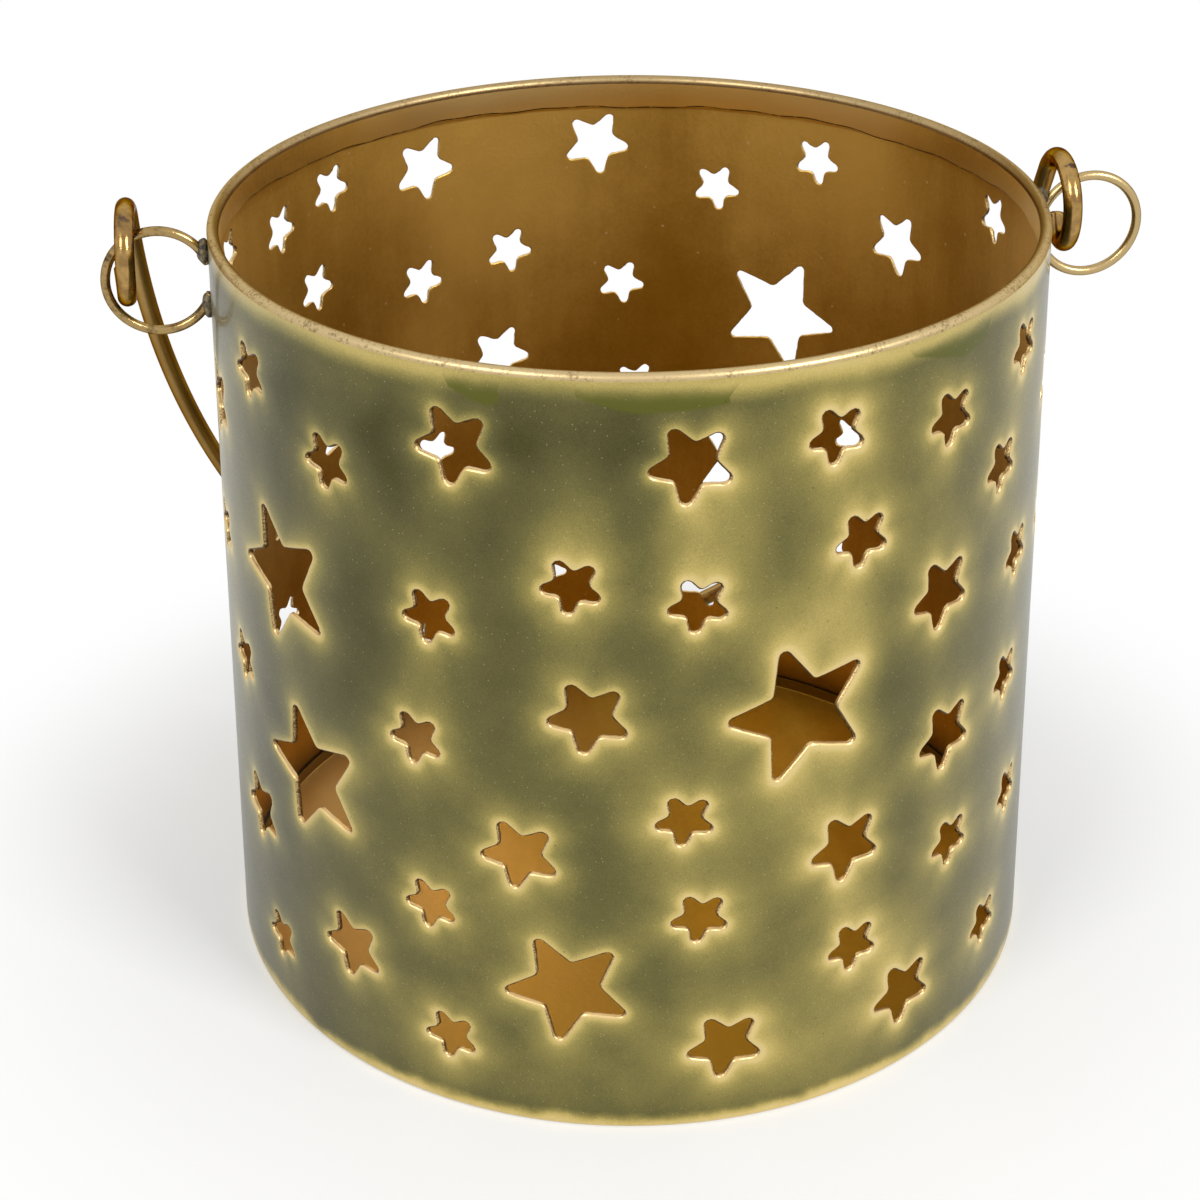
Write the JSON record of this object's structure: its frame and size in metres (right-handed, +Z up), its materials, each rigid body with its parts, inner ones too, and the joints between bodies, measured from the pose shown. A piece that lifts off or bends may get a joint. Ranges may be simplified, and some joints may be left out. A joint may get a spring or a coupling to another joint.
{
  "type": "star lantern",
  "caption": "Round sheet-metal candle lantern shaped like a small bucket, pierced all over with stars, with a rolled rim, wire ring ears and a loose swinging wire bail.",
  "frame": {"origin": "middle of the flat underside, on the surface it stands on", "axes": "+Z up; +X through the right ear, seen from the front; +Y to the back, where the bail leans on the body"},
  "size_m": [0.1653, 0.1415, 0.1311],
  "materials": {
    "lacquered_sheet": "glossy green-gold lacquer over gilt sheet, worn to gold at the cut edges",
    "base_sheet": "satin brown gold",
    "ear_wire": "gilt wire with dark braze",
    "bail_wire": "gilt wire with dark bands"
  },
  "bodies": {
    "body": {"body_wall": "lacquered_sheet", "base_pan": "base_sheet", "left_ear": "ear_wire", "right_ear": "ear_wire"},
    "bail": {"bail_handle": "bail_wire"}
  },
  "joints": [
    {"name": "bail_swing", "type": "hinge", "parent": "body", "child": "bail", "pos_m": [0, 0, 0.1252], "axis": [1, 0, 0], "range_deg": [0, 275]}
  ]
}
